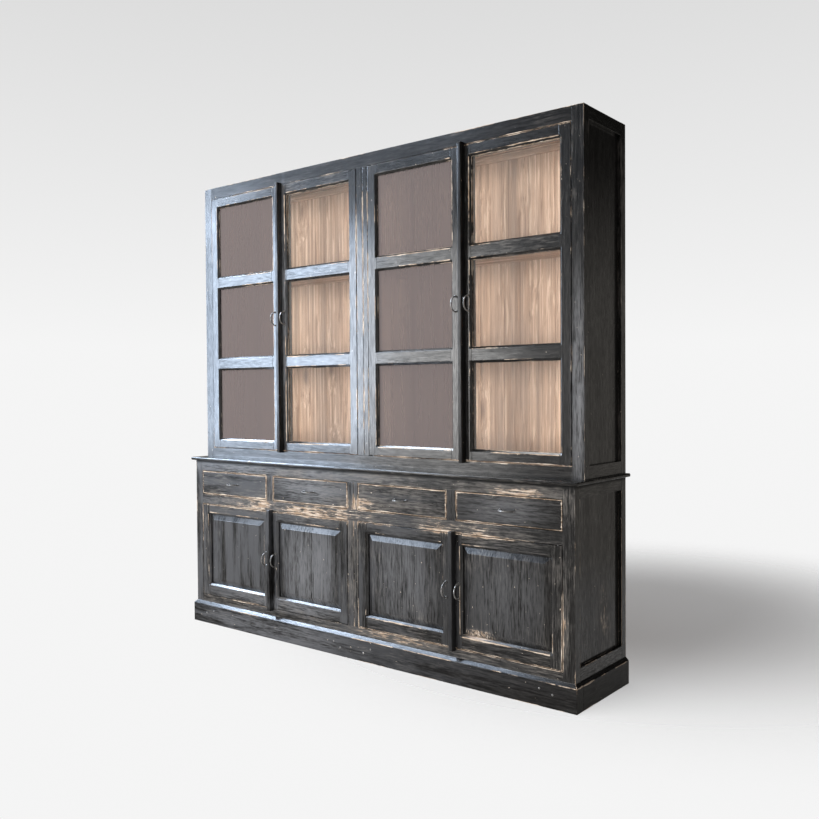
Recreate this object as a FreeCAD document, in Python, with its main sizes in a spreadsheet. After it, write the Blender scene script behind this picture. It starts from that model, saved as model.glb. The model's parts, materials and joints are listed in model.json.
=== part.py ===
import FreeCAD, Part
import Sketcher
import os
import re

# Driving sizes in millimetres, each written once.
SIZES = {
    # whole cabinet
    "width": 2150, "height": 2200, "lower_depth": 420, "upper_depth": 346,
    # plinth and counter board
    "plinth_height": 105, "plinth_reach": 13, "plinth_thick": 51,
    "counter_level": 820, "counter_thick": 14, "counter_overhang": 20, "counter_corner": 8,
    "nosing_radius": 5.5,
    # posts and rails of both carcasses
    "post_wide": 50, "post_deep": 38, "upper_centre": 64, "lower_centre": 60, "muntin_wide": 46,
    "upper_base_rail": 47, "upper_top_rail": 56,
    "lower_base_rail": 35, "drawer_rail": 49, "drawer_opening": 118, "lower_top_rail": 52,
    "side_rail_tall": 50, "side_rail_thick": 34,
    "seam_wide": 1.6, "seam_deep": 3, "seam_set": 4,
    # panels, planks and boards
    "side_recess": 14, "side_panel_thick": 12, "plank_thick": 12, "plank_seam": 0.8,
    "board_thick": 18, "top_board_sink": 10, "bearer_wide": 16, "bearer_tall": 24,
    "shelf_thick": 20, "shelf_set": 46,
    # joinery
    "tenon_long": 20, "tenon_thick": 12, "shoulder": 10, "bite": 8, "fit": 0.2, "slack": 0.5,
    "overrun": 5,
    # doors
    "door_gap": 3, "proud": 1, "stile_wide": 49, "upper_door_thick": 34, "lower_door_thick": 38,
    "glass_rail_top": 48, "glass_rail_middle": 65, "glass_rail_bottom": 45,
    "panel_rail_top": 48, "panel_rail_bottom": 58,
    "edge_bevel": 9, "glass_thick": 4, "glass_set": 14,
    "tongue_thick": 8, "tongue_set": 17, "bevel_wide": 26, "bevel_rise": 11,
    "batten_wide": 19, "batten_reach": 26, "batten_lap": 10, "batten_round": 4,
    # pivots and pulls
    "pivot_in": 20, "pivot_set": 10, "pin_radius": 4, "pin_seat": 18, "run_clear": 0.05,
    "pull_radius": 31, "rod_radius": 3, "shank_long": 12,
    # drawers
    "drawer_front_thick": 24, "drawer_side_thick": 14, "drawer_floor_thick": 8,
    "drawer_floor_rise": 10, "drawer_head_room": 12, "drawer_tail_room": 14, "side_lap": 12,
    "runner_wide": 30, "runner_tall": 20, "guide_wide": 14, "guide_tall": 30, "glide": 0.5,
}
PLANKS_PER_BAY = 8
PANES_PER_DOOR = 3
SIDES = {"left": -1, "right": 1}
# Two places on one piece that lie closer than this count as one.
SAME_PLACE = 1e-6

doc = FreeCAD.newDocument("buffet_cabinet")
sheet = doc.addObject("Spreadsheet::Sheet", "sizes")
for row, (word, value) in enumerate(SIZES.items(), start=1):
    sheet.set(f"A{row}", word)
    sheet.set(f"B{row}", str(value))
    sheet.setAlias(f"B{row}", word)
doc.recompute()

# Places worked out from the driving sizes. The origin is under the middle of the whole cabinet,
# pulls included; the front looks towards -Y.
half = "(width / 2)"
back = "((lower_depth + proud + pull_radius + rod_radius) / 2)"
lower_face = f"({back} - lower_depth)"
upper_face = f"({back} - upper_depth)"
counter_top = "(counter_level + counter_thick)"
drawer_top = "(counter_level - lower_top_rail)"
drawer_bottom = f"({drawer_top} - drawer_opening)"

# Rail heights, bottom rail first; the spaces between them are the openings.
UPPER_RAILS = [
    (counter_top, f"({counter_top} + upper_base_rail)"),
    ("(height - upper_top_rail)", "height"),
]
LOWER_RAILS = [
    ("plinth_height", "(plinth_height + lower_base_rail)"),
    (f"({drawer_bottom} - drawer_rail)", drawer_bottom),
    (drawer_top, "counter_level"),
]

nodes = []


def sized(text):
    """An expression in which every word is a cell of the sheet."""
    return re.sub(r"[a-z][a-z_]+", r"sizes.\g<0>", text)


def bind(thing, **texts):
    for name, text in texts.items():
        thing.setExpression(name.replace("__", "."), sized(text))


def place(thing, x, y, z):
    bind(thing, Placement__Base__x=x, Placement__Base__y=y, Placement__Base__z=z)


def node(label, pieces):
    """Names one sub-part: a single piece, or several pieces of one kind."""
    if len(pieces) == 1:
        thing = pieces[0]
    else:
        thing = doc.addObject("Part::Compound", label)
        thing.Links = pieces
    thing.Label = label
    nodes.append(thing)


# Ranges: a pair of expressions, low and high.
def inward(side, near, far):
    """Across the width, measured in from the outer face of one side."""
    if side < 0:
        return (f"-{half} + {near}", f"-{half} + {far}")
    return (f"{half} - ({far})", f"{half} - ({near})")


def outward(side, near, far):
    """Across the width, measured out from the middle."""
    if side < 0:
        return (f"-({far})", f"-({near})")
    return (near, far)


def behind(face, near, far):
    return (f"{face} + {near}", f"{face} + {far}")


def before_back(near, far):
    return (f"{back} - ({far})", f"{back} - ({near})")


def middle_of(span, thick):
    low, high = span
    return (f"({low} + {high} - {thick}) / 2", f"({low} + {high} + {thick}) / 2")


def inset(span, amount):
    low, high = span
    return (f"{low} + {amount}", f"{high} - ({amount})")


# Shapes
def block(x, y, z):
    """A squared timber between three pairs of faces."""
    piece = doc.addObject("Part::Box", "block")
    (x_low, x_high), (y_low, y_high), (z_low, z_high) = x, y, z
    bind(piece, Length=f"({x_high}) - ({x_low})")
    bind(piece, Width=f"({y_high}) - ({y_low})")
    bind(piece, Height=f"({z_high}) - ({z_low})")
    place(piece, x_low, y_low, z_low)
    return piece


def rod(x, y, z, radius, length, lying=False):
    """A round bar that starts at a point and runs up, or back along +Y where it lies."""
    bar = doc.addObject("Part::Cylinder", "rod")
    if lying:
        bar.Placement.Rotation = FreeCAD.Rotation(FreeCAD.Vector(1, 0, 0), -90)
    bind(bar, Radius=radius, Height=length)
    place(bar, x, y, z)
    return bar


def splay(near, near_x, near_z, far, far_x, far_z):
    """A block whose four sides slope from a near rectangle back to a far one."""
    piece = doc.addObject("Part::Wedge", "splay")
    bind(piece, Ymin=near, Xmin=near_x[0], Xmax=near_x[1], Zmin=near_z[0], Zmax=near_z[1])
    bind(piece, Ymax=far, X2min=far_x[0], X2max=far_x[1], Z2min=far_z[0], Z2max=far_z[1])
    return piece


def union(pieces):
    if len(pieces) == 1:
        return pieces[0]
    whole = doc.addObject("Part::MultiFuse", "union")
    whole.Shapes = pieces
    return whole


def timber(x, y, z, tenons=(), cuts=()):
    """A timber with its tenons, less its mortises, grooves and bores."""
    piece = union([block(x, y, z)] + [block(*tenon) for tenon in tenons])
    if not cuts:
        return piece
    cut = doc.addObject("Part::Cut", "timber")
    cut.Base = piece
    cut.Tool = union(list(cuts))
    return cut


def mortise(tenon):
    """The hole for a tenon, with the joint's fit all round."""
    return block(*[(f"{low} - fit", f"{high} + fit") for low, high in tenon])


def padded(label, x, y, z):
    """A body padded up from a rectangle that is drawn on the ground plane."""
    body = doc.addObject("PartDesign::Body", label)
    plane = next(f for f in body.Origin.OriginFeatures if f.Role == "XY_Plane")
    sketch = body.newObject("Sketcher::SketchObject", f"{label}_outline")
    sketch.AttachmentSupport = [(plane, "")]
    sketch.MapMode = "FlatFace"
    corners = [(x[0], y[0]), (x[1], y[0]), (x[1], y[1]), (x[0], y[1])]
    rough = [(0, 0), (1, 0), (1, 1), (0, 1)]
    points = [FreeCAD.Vector(across, along, 0) for across, along in rough]
    for index, point in enumerate(points):
        sketch.addGeometry(Part.LineSegment(point, points[(index + 1) % len(points)]))
    for index in range(len(points)):
        after = (index + 1) % len(points)
        sketch.addConstraint(Sketcher.Constraint("Coincident", index, 2, after, 1))
    for index, (across, along) in enumerate(corners):
        for kind, text in (("DistanceX", across), ("DistanceY", along)):
            name = f"corner_{index}_{kind}"
            start = points[index].x if kind == "DistanceX" else points[index].y
            number = sketch.addConstraint(Sketcher.Constraint(kind, -1, 1, index, 1, start))
            sketch.renameConstraint(number, name)
            sketch.setExpression(f"Constraints.{name}", sized(text))
    pad = body.newObject("PartDesign::Pad", f"{label}_pad")
    pad.Profile = sketch
    bind(pad, Length=f"({z[1]}) - ({z[0]})")
    bind(body, Placement__Base__z=z[0])
    doc.recompute()
    return body


def same(one, other):
    return abs(one - other) < SAME_PLACE


def dress(body, kind, size, wanted):
    """Rounds or bevels those edges of a body that a test picks by their middle points."""
    feature = body.newObject(f"PartDesign::{kind}", f"{body.Name}_{kind}")
    base = body.Group[-2]
    box = base.Shape.BoundBox
    names = []
    for number, edge in enumerate(base.Shape.Edges, start=1):
        if wanted(edge.CenterOfMass, box):
            names.append(f"Edge{number}")
    feature.Base = (base, names)
    bind(feature, **size)
    doc.recompute()
    return body


# Carcass: posts, rails, side panels and back planks, the same way in both tiers.
def post_depth(front_or_back, face):
    if front_or_back == "front":
        return behind(face, "0", "post_deep")
    return before_back("0", "post_deep")


def cross_tenon(side, depth, rail):
    """A tenon by which a front or back rail enters the post at one side."""
    across = inward(side, "post_wide - tenon_long", "post_wide")
    return (across, middle_of(depth, "tenon_thick"), inset(rail, "shoulder"))


def side_tenon(side, end, face, rail):
    """A tenon by which a side rail enters its front or back post."""
    across = middle_of(inward(side, "0", "side_rail_thick"), "tenon_thick")
    if end == "front":
        along = behind(face, "post_deep - tenon_long", "post_deep")
    else:
        along = before_back("post_deep - tenon_long", "post_deep")
    return (across, along, inset(rail, "shoulder"))


def upright_tenons(across, depth, heights):
    """Tenons at the foot and head of an upright that stands between two rails."""
    low, high = heights
    thin = (inset(across, "shoulder"), middle_of(depth, "tenon_thick"))
    return [(*thin, (f"{low} - tenon_long", low)), (*thin, (high, f"{high} + tenon_long"))]


def side_groove(side):
    low, high = inward(side, "side_recess", "side_recess + side_panel_thick")
    return (f"{low} - fit", f"{high} + fit")


def plank_groove():
    low, high = middle_of(before_back("0", "post_deep"), "plank_thick")
    return (f"{low} - fit", f"{high} + fit")


def carcass_posts(face, rails, side_rails):
    """Four corner posts, mortised for the rails and grooved for the side panels."""
    posts = []
    foot, head = rails[0][0], rails[-1][1]
    panel = (f"{side_rails[0][1]} - bite", f"{side_rails[1][0]} + bite")
    for side in SIDES.values():
        for end in ("front", "back"):
            depth = post_depth(end, face)
            cuts = [mortise(cross_tenon(side, depth, rail)) for rail in rails]
            cuts += [mortise(side_tenon(side, end, face, rail)) for rail in side_rails]
            if end == "front":
                along = behind(face, "post_deep - bite - slack", "post_deep + overrun")
            else:
                along = before_back("post_deep - bite - slack", "post_deep + overrun")
            cuts.append(block(side_groove(side), along, panel))
            posts.append(timber(inward(side, "0", "post_wide"), depth, (foot, head), (), cuts))
    return posts


def long_rails(end, face, rails, uprights, bores=()):
    """Rails across the front or back, mortised for the uprights that stand between them."""
    depth = post_depth(end, face)
    across = (f"-{half} + post_wide", f"{half} - post_wide")
    pieces = []
    for level, rail in enumerate(rails):
        tenons = [cross_tenon(side, depth, rail) for side in SIDES.values()]
        cuts = []
        for upper_gap, upright_across in uprights:
            heights = (rails[upper_gap][1], rails[upper_gap + 1][0])
            foot, top = upright_tenons(upright_across, depth, heights)
            if level == upper_gap:
                cuts.append(mortise(foot))
            if level == upper_gap + 1:
                cuts.append(mortise(top))
        if end == "back" and level > 0:
            groove = (rail[0] + " - overrun", rail[0] + " + bite + slack")
            cuts.append(block(across, plank_groove(), groove))
        if end == "back" and level < len(rails) - 1:
            groove = (rail[1] + " - bite", rail[1] + " + overrun")
            cuts.append(block(across, plank_groove(), groove))
        cuts += [bore for bore_level, bore in bores if bore_level == level]
        pieces.append(timber(across, depth, rail, tenons, cuts))
    return pieces


def uprights_between(end, face, rails, uprights, seam=None):
    """Uprights tenoned between the long rails; a seam runs down the middle ones at the front."""
    depth = post_depth(end, face)
    pieces = []
    for gap, across in uprights:
        heights = (rails[gap][1], rails[gap + 1][0])
        cuts = []
        if seam and across == seam:
            groove = ("seam_set", "seam_set + seam_wide")
            cuts = [block(groove, behind(face, "-overrun", "seam_deep"), heights)]
        pieces.append(timber(across, depth, heights, upright_tenons(across, depth, heights), cuts))
    return pieces


def side_rail_pieces(face, side_rails):
    """A bottom and a top rail on each side, grooved for the panel between them."""
    pieces = []
    along = (f"{face} + post_deep", f"{back} - post_deep")
    for side in SIDES.values():
        for level, rail in enumerate(side_rails):
            tenons = [side_tenon(side, end, face, rail) for end in ("front", "back")]
            groove = (rail[1] + " - bite", rail[1] + " + overrun")
            if level == 1:
                groove = (rail[0] + " - overrun", rail[0] + " + bite + slack")
            cut = block(side_groove(side), along, groove)
            pieces.append(timber(inward(side, "0", "side_rail_thick"), along, rail, tenons, [cut]))
    return pieces


def side_panel_pieces(face, side_rails):
    """One recessed panel on each side, its edges in the grooves round it."""
    pieces = []
    for side in SIDES.values():
        across = inward(side, "side_recess", "side_recess + side_panel_thick")
        along = (f"{face} + post_deep - bite", f"{back} - post_deep + bite")
        rise = (f"{side_rails[0][1]} - bite", f"{side_rails[1][0]} + bite")
        pieces.append(block(across, along, rise))
    return pieces


def back_plank_pieces(rails, centre):
    """Upright planks that fill the back between the rails, on both sides of its middle stile."""
    pieces = []
    along = middle_of(before_back("0", "post_deep"), "plank_thick")
    bay = f"({half} - post_wide - {centre} / 2)"
    pitch = f"(({bay} - plank_seam) / {PLANKS_PER_BAY})"
    for gap in range(len(rails) - 1):
        rise = (f"{rails[gap][1]} - bite", f"{rails[gap + 1][0]} + bite")
        for side in SIDES.values():
            for index in range(PLANKS_PER_BAY):
                near = f"{centre} / 2 + plank_seam + {index} * {pitch}"
                far = f"{centre} / 2 + {index + 1} * {pitch}"
                pieces.append(block(outward(side, near, far), along, rise))
    return pieces


def side_rail_heights(rails):
    foot, head = rails[0][0], rails[-1][1]
    return [(foot, f"({foot} + side_rail_tall)"), (f"({head} - side_rail_tall)", head)]


# Doors hang on loose pins at the head and foot of the stile beside their post.
def door_span(side, place_in_bay, centre):
    """Outer edges of a door: 0 is the one by the corner post, 1 the one by the middle post."""
    bay = f"({half} - post_wide - {centre} / 2)"
    wide = f"(({bay} - 3 * door_gap) / 2)"
    near = "post_wide + door_gap"
    if place_in_bay == 1:
        near = f"post_wide + 2 * door_gap + {wide}"
    return inward(side, f"({near})", f"({near} + {wide})")


def door_list(tier, centre):
    """Doors of one tier from left to right: name, edges, and the side they hang on."""
    order = [(-1, 0, -1), (-1, 1, 1), (1, 1, -1), (1, 0, 1)]
    return [
        (f"{tier}_door_{number}", door_span(side, index, centre), hung)
        for number, (side, index, hung) in enumerate(order, start=1)
    ]


def pivot_x(span, hung):
    if hung < 0:
        return f"{span[0]} + pivot_in"
    return f"{span[1]} - pivot_in"


def pivot_pins(doors, face, opening):
    """The pins of one tier and the bores that they need in the rails below and above."""
    pins = []
    bores = []
    depth = f"{face} - proud + pivot_set"
    for _, span, hung in doors:
        across = pivot_x(span, hung)
        foot = f"{opening[0]} - pin_seat"
        head = f"{opening[1]} - door_gap - pin_seat"
        for start in (foot, head):
            pins.append(rod(across, depth, start, "pin_radius", "2 * pin_seat + door_gap"))
        bore = "pin_radius + run_clear"
        bores.append((0, rod(across, depth, foot, bore, "pin_seat + overrun")))
        bores.append((1, rod(across, depth, f"{opening[1]} - overrun", bore, "pin_seat + overrun")))
    return pins, bores


def pull(x, y, z, upright):
    """A bow of bent rod: half a ring that stands out, with two shanks in the wood."""
    ring = doc.addObject("Part::Torus", "bow")
    turn = FreeCAD.Rotation(FreeCAD.Vector(0, 0, 1), 180)
    if upright:
        turn = FreeCAD.Rotation(FreeCAD.Vector(0, 1, 0), 90) * turn
    ring.Placement.Rotation = turn
    ring.Angle3 = 180
    bind(ring, Radius1="pull_radius", Radius2="rod_radius")
    place(ring, x, y, z)
    return union([ring] + shanks(x, y, z, upright, "rod_radius", "shank_long"))


def shanks(x, y, z, upright, radius, length, start="0"):
    pieces = []
    for side in SIDES.values():
        shift = f"{side} * pull_radius"
        if upright:
            pieces.append(rod(x, f"{y} - {start}", f"{z} + {shift}", radius, length, lying=True))
        else:
            pieces.append(rod(f"{x} + {shift}", f"{y} - {start}", z, radius, length, lying=True))
    return pieces


def shank_holes(x, y, z, upright):
    return shanks(x, y, z, upright, "rod_radius + fit", "shank_long + overrun + fit", "overrun")


def pull_x(span, hung):
    """The pull stands on the free stile, beside the batten where the door carries one."""
    if hung < 0:
        return f"{span[1]} - stile_wide / 2"
    return f"{span[0]} + (stile_wide + batten_wide) / 2"


def light_bevel(across, front, light):
    """The cutter that bevels the frame's front edges round one light, mitred at the corners."""
    near = "-(edge_bevel + overrun)"
    return splay(
        f"{front} - overrun", inset(across, near), inset(light, near),
        f"{front} + edge_bevel + overrun", inset(across, "overrun"), inset(light, "overrun"),
    )


def lights_between(rails):
    return [(rails[level][1], rails[level + 1][0]) for level in range(len(rails) - 1)]


def door_frame(span, rise, front, thick, rails, groove, hung):
    """Two stiles and their rails, grooved and bevelled all round the lights between them."""
    depth = (front, f"{front} + {thick}")
    stiles = [(span[0], f"{span[0]} + stile_wide"), (f"{span[1]} - stile_wide", span[1])]
    inner = (stiles[0][1], stiles[1][0])
    tongue = middle_of(depth, "tenon_thick")
    left = (f"{inner[0]} - tenon_long", inner[0])
    right = (inner[1], f"{inner[1]} + tenon_long")
    pieces = []
    for side, stile, into in ((-1, stiles[0], left), (1, stiles[1], right)):
        cuts = [mortise((into, tongue, inset(rail, "shoulder"))) for rail in rails]
        edge = (f"{inner[0]} - bite - slack", f"{inner[0]} + overrun")
        if side > 0:
            edge = (f"{inner[1]} - overrun", f"{inner[1]} + bite + slack")
        cuts.append(block(edge, groove, inset(rise, "shoulder")))
        cuts += [light_bevel(inner, front, light) for light in lights_between(rails)]
        if side == hung:
            bore = ("pin_radius + run_clear", "pin_seat + slack + overrun")
            across = pivot_x(span, hung)
            depth_of_pin = f"{front} + pivot_set"
            cuts.append(rod(across, depth_of_pin, f"{rise[0]} - overrun", *bore))
            cuts.append(rod(across, depth_of_pin, f"{rise[1]} - pin_seat - slack", *bore))
        else:
            middle = f"({rise[0]} + {rise[1]}) / 2"
            cuts += shank_holes(pull_x(span, hung), front, middle, upright=True)
        pieces.append(timber(stile, depth, rise, (), cuts))
    for level, rail in enumerate(rails):
        tenons = [(into, tongue, inset(rail, "shoulder")) for into in (left, right)]
        cuts = []
        if level > 0:
            cuts.append(block(inner, groove, (f"{rail[0]} - overrun", f"{rail[0]} + bite + slack")))
            cuts.append(light_bevel(inner, front, lights_between(rails)[level - 1]))
        if level < len(rails) - 1:
            cuts.append(block(inner, groove, (f"{rail[1]} - bite", f"{rail[1]} + overrun")))
            cuts.append(light_bevel(inner, front, lights_between(rails)[level]))
        pieces.append(timber(inner, depth, rail, tenons, cuts))
    return pieces, inner


def raised_panel(across, front, rise):
    """A panel whose four sides slope down from a flat field to a thin tongue in the grooves."""
    field = splay(
        f"{front} + tongue_set - bevel_rise", inset(across, "bevel_wide"), inset(rise, "bevel_wide"),
        f"{front} + tongue_set", inset(across, "slack"), inset(rise, "slack"),
    )
    edge_x, edge_z = inset(across, "-bite"), inset(rise, "-bite")
    tongue = block(edge_x, behind(front, "tongue_set", "tongue_set + tongue_thick"), edge_z)
    return union([field, tongue])


def batten(label, span, front, rise):
    """A cover strip along the meeting stile, a little longer than the door."""
    across = (span[0], f"{span[0]} + batten_wide")
    body = padded(label, across, (f"{front} - batten_reach", front), inset(rise, "-batten_lap"))
    dress(body, "Fillet", {"Radius": "batten_round"}, lambda p, b: same(p.y, b.YMin))
    node(label, [body])


def door(name, span, hung, rise, front, thick, rails, fill):
    """Frame, glass or panel, pull and, on the right-hand door of a pair, the batten."""
    if fill == "panes":
        seat = ("glass_set", "glass_set + glass_thick")
    else:
        seat = ("tongue_set", "tongue_set + tongue_thick")
    groove = (f"{front} + {seat[0]} - fit", f"{front} + {seat[1]} + fit")
    frame, inner = door_frame(span, rise, front, thick, rails, groove, hung)
    node(f"{name}_frame", frame)
    lights = lights_between(rails)
    if fill == "panes":
        edge = inset(inner, "-bite")
        panes = [block(edge, behind(front, *seat), inset(light, "-bite")) for light in lights]
        node(f"{name}_panes", panes)
    else:
        node(f"{name}_panel", [raised_panel(inner, front, lights[0])])
    middle = f"({rise[0]} + {rise[1]}) / 2"
    node(f"{name}_pull", [pull(pull_x(span, hung), front, middle, upright=True)])
    if hung > 0:
        batten(f"{name}_batten", span, front, rise)


def glass_rails(rise):
    """Four rails that leave three equal lights between them."""
    low, high = rise
    rails = "glass_rail_top + glass_rail_bottom + 2 * glass_rail_middle"
    light = f"(({high} - ({low}) - ({rails})) / {PANES_PER_DOOR})"
    levels = [(low, f"{low} + glass_rail_bottom")]
    for number in range(1, PANES_PER_DOOR):
        foot = f"{low} + glass_rail_bottom + {number} * {light} + {number - 1} * glass_rail_middle"
        levels.append((foot, f"{foot} + glass_rail_middle"))
    levels.append((f"{high} - glass_rail_top", high))
    return levels


def panel_rails(rise):
    low, high = rise
    return [(low, f"{low} + panel_rail_bottom"), (f"{high} - panel_rail_top", high)]


# Drawers run on strips behind the rail below them and between guides behind the uprights.
def drawer_spans():
    """Openings of the four drawers from left to right."""
    bay = f"({half} - post_wide - lower_centre / 2)"
    wide = f"(({bay} - muntin_wide) / 2)"
    outer = ("post_wide", f"(post_wide + {wide})")
    inner = (f"(post_wide + {wide} + muntin_wide)", f"(post_wide + {bay})")
    return [inward(-1, *outer), inward(-1, *inner), inward(1, *inner), inward(1, *outer)]


def drawer(name, opening):
    """Front with lapped ends, two grooved sides, floor and back, and the pull."""
    rise = (drawer_bottom, drawer_top)
    across = inset(opening, "door_gap")
    inner = inset(across, "drawer_side_thick")
    front_back = f"{lower_face} + drawer_front_thick"
    tail = f"({back} - post_deep - drawer_tail_room)"
    side_rise = (f"{drawer_bottom} + glide", f"{drawer_top} - drawer_head_room")
    underside = f"{side_rise[0]} + drawer_floor_rise"
    floor = (underside, f"{underside} + drawer_floor_thick")
    floor_groove = (f"{floor[0]} - fit", f"{floor[1]} + fit")
    lap = (f"{front_back} - side_lap", f"{front_back} + overrun")
    tall = inset(rise, "-overrun")
    middle = (f"({across[0]} + {across[1]}) / 2", f"({rise[0]} + {rise[1]}) / 2")
    cuts = [
        block((f"{across[0]} - overrun", inner[0]), lap, tall),
        block((inner[1], f"{across[1]} + overrun"), lap, tall),
        block(inset(inner, "-overrun"), (f"{front_back} - bite - fit", lap[1]), floor_groove),
    ]
    cuts += shank_holes(middle[0], lower_face, middle[1], upright=False)
    front = timber(across, (lower_face, front_back), inset(rise, "door_gap"), (), cuts)
    node(f"{name}_front", [front])
    along = (f"{front_back} - side_lap", tail)
    floor_edge = inset(inner, "-bite")
    bottom = block(floor_edge, (f"{front_back} - bite", tail), floor)
    groove_along = (f"{along[0]} - overrun", f"{tail} + overrun")
    groove = block(inset(floor_edge, "-fit"), groove_along, floor_groove)
    sides = [
        timber((across[0], inner[0]), along, side_rise, (), [groove]),
        timber((inner[1], across[1]), along, side_rise, (), [groove]),
    ]
    tail_along = (f"{tail} - drawer_side_thick", tail)
    tail_board = block(inner, tail_along, (floor[1], f"{side_rise[1]} - bite"))
    node(f"{name}_box", sides + [bottom, tail_board])
    node(f"{name}_pull", [pull(middle[0], lower_face, middle[1], upright=False)])


def runner_pieces():
    pieces = []
    along = (f"{lower_face} + post_deep", f"{back} - post_deep")
    seat = (f"{drawer_bottom} - runner_tall", drawer_bottom)
    fence = (drawer_bottom, f"{drawer_bottom} + guide_tall")
    for low, high in drawer_spans():
        left, right = f"{low} - guide_wide", f"{high} + guide_wide"
        pieces.append(block((left, f"{left} + runner_wide"), along, seat))
        pieces.append(block((left, low), along, fence))
        pieces.append(block((f"{right} - runner_wide", right), along, seat))
        pieces.append(block((high, right), along, fence))
    return pieces


# Plinth and counter board
def plinth_pieces():
    """Four boards on edge; the bevel along their tops dies into the carcass above."""
    front_along = (f"{lower_face} - plinth_reach", f"{lower_face} - plinth_reach + plinth_thick")
    rise = ("0", "plinth_height")
    bevel = {"Size": "plinth_reach"}
    whole = (f"-{half} - plinth_reach", f"{half} + plinth_reach")
    front = padded("plinth_front", whole, front_along, rise)
    dress(front, "Chamfer", bevel, lambda p, b: same(p.z, b.ZMax) and not same(p.y, b.YMax))
    pieces = [front]
    side_along = (front_along[1], back)
    for word, side in SIDES.items():
        across = inward(side, "(-plinth_reach)", "(plinth_thick - plinth_reach)")
        board = padded(f"plinth_{word}", across, side_along, rise)
        outer = (lambda p, b: same(p.x, b.XMin)) if side < 0 else (lambda p, b: same(p.x, b.XMax))
        dress(board, "Chamfer", bevel, lambda p, b: same(p.z, b.ZMax) and outer(p, b))
        pieces.append(board)
    inner = (f"-{half} + plinth_thick - plinth_reach", f"{half} - plinth_thick + plinth_reach")
    pieces.append(block(inner, before_back("0", "plinth_thick - plinth_reach"), rise))
    return pieces


def counter_piece():
    """A thin board with a rounded nosing along the front and both ends."""
    across = (f"-{half} - counter_overhang", f"{half} + counter_overhang")
    along = (f"{lower_face} - counter_overhang", back)
    board = padded("counter", across, along, ("counter_level", counter_top))

    def corner(p, b):
        return not same(p.y, b.YMax) and same(p.z, (b.ZMin + b.ZMax) / 2)

    def outline(p, b):
        return not same(p.y, b.YMax) and not same(p.z, (b.ZMin + b.ZMax) / 2)

    dress(board, "Fillet", {"Radius": "counter_corner"}, corner)
    dress(board, "Fillet", {"Radius": "nosing_radius"}, outline)
    return board


# Inner boards
def board_span(face):
    across = (f"-{half} + side_rail_thick", f"{half} - side_rail_thick")
    return across, (f"{face} + post_deep", f"{back} - post_deep")


def bearers(face, top, tall):
    """Strips from front to back at both ends and in the middle, under one board."""
    _, along = board_span(face)
    rise = (f"{top} - {tall}", top)
    spots = [inward(side, "post_wide - bearer_wide", "post_wide") for side in SIDES.values()]
    spots.append(("-bearer_wide", "bearer_wide"))
    return [block(spot, along, rise) for spot in spots]


def lower_boards():
    across, along = board_span(lower_face)
    level = LOWER_RAILS[0][1]
    under = f"({level} - board_thick)"
    wall = ("-board_thick / 2", "board_thick / 2")
    pieces = [block(across, along, (under, level)), block(wall, along, (level, drawer_bottom))]
    return pieces + bearers(lower_face, under, "(lower_base_rail - board_thick)")


def shelf_tops(rise):
    """Shelves lie behind the middle rails of the glass doors."""
    return [f"(({low} + {high} + shelf_thick) / 2)" for low, high in glass_rails(rise)[1:-1]]


# Build
UPPER_CENTRE = ("-(upper_centre / 2)", "(upper_centre / 2)")
LOWER_CENTRE = ("-(lower_centre / 2)", "(lower_centre / 2)")
upper_opening = (UPPER_RAILS[0][1], UPPER_RAILS[1][0])
lower_opening = (LOWER_RAILS[0][1], LOWER_RAILS[1][0])
upper_door_rise = inset(upper_opening, "door_gap")
lower_door_rise = inset(lower_opening, "door_gap")
upper_doors = door_list("upper", "upper_centre")
lower_doors = door_list("lower", "lower_centre")
upper_pins, upper_bores = pivot_pins(upper_doors, upper_face, upper_opening)
lower_pins, lower_bores = pivot_pins(lower_doors, lower_face, lower_opening)
spans = drawer_spans()
lower_uprights = [(0, LOWER_CENTRE), (1, LOWER_CENTRE)]
lower_uprights += [(1, (spans[0][1], spans[1][0])), (1, (spans[2][1], spans[3][0]))]
upper_uprights = [(0, UPPER_CENTRE)]
lower_back_stiles = lower_uprights[:2]

node("plinth_boards", plinth_pieces())
node("counter_board", [counter_piece()])
for tier, face, rails, uprights, back_stiles, bores, centre in (
    ("lower", lower_face, LOWER_RAILS, lower_uprights, lower_back_stiles, lower_bores, LOWER_CENTRE),
    ("upper", upper_face, UPPER_RAILS, upper_uprights, upper_uprights, upper_bores, UPPER_CENTRE),
):
    side_rails = side_rail_heights(rails)
    node(f"{tier}_posts", carcass_posts(face, rails, side_rails))
    frame = long_rails("front", face, rails, uprights, bores)
    node(f"{tier}_front_frame", frame + uprights_between("front", face, rails, uprights, centre))
    node(f"{tier}_side_rails", side_rail_pieces(face, side_rails))
    node(f"{tier}_side_panels", side_panel_pieces(face, side_rails))
    frame = long_rails("back", face, rails, back_stiles)
    node(f"{tier}_back_frame", frame + uprights_between("back", face, rails, back_stiles))
    node(f"{tier}_back_planks", back_plank_pieces(rails, f"{tier}_centre"))
node("lower_boards", lower_boards())
node("drawer_runners", runner_pieces())
upper_across, upper_along = board_span(upper_face)
upper_level = UPPER_RAILS[0][1]
upper_under = f"({upper_level} - board_thick)"
top_level = "(height - top_board_sink)"
boards = [
    block(upper_across, upper_along, (upper_under, upper_level)),
    block(upper_across, upper_along, (f"{top_level} - board_thick", top_level)),
]
shelf_along = (f"{upper_face} + shelf_set", f"{back} - post_deep")
tops = shelf_tops(upper_door_rise)
boards += [block(upper_across, shelf_along, (f"{top} - shelf_thick", top)) for top in tops]
node("upper_boards", boards)
strips = bearers(upper_face, upper_under, "(upper_base_rail - board_thick)")
for top in tops:
    strips += bearers(upper_face, f"({top} - shelf_thick)", "bearer_tall")
node("upper_bearers", strips)
node("door_pins", upper_pins + lower_pins)
front = f"({upper_face} - proud)"
rails = glass_rails(upper_door_rise)
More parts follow.
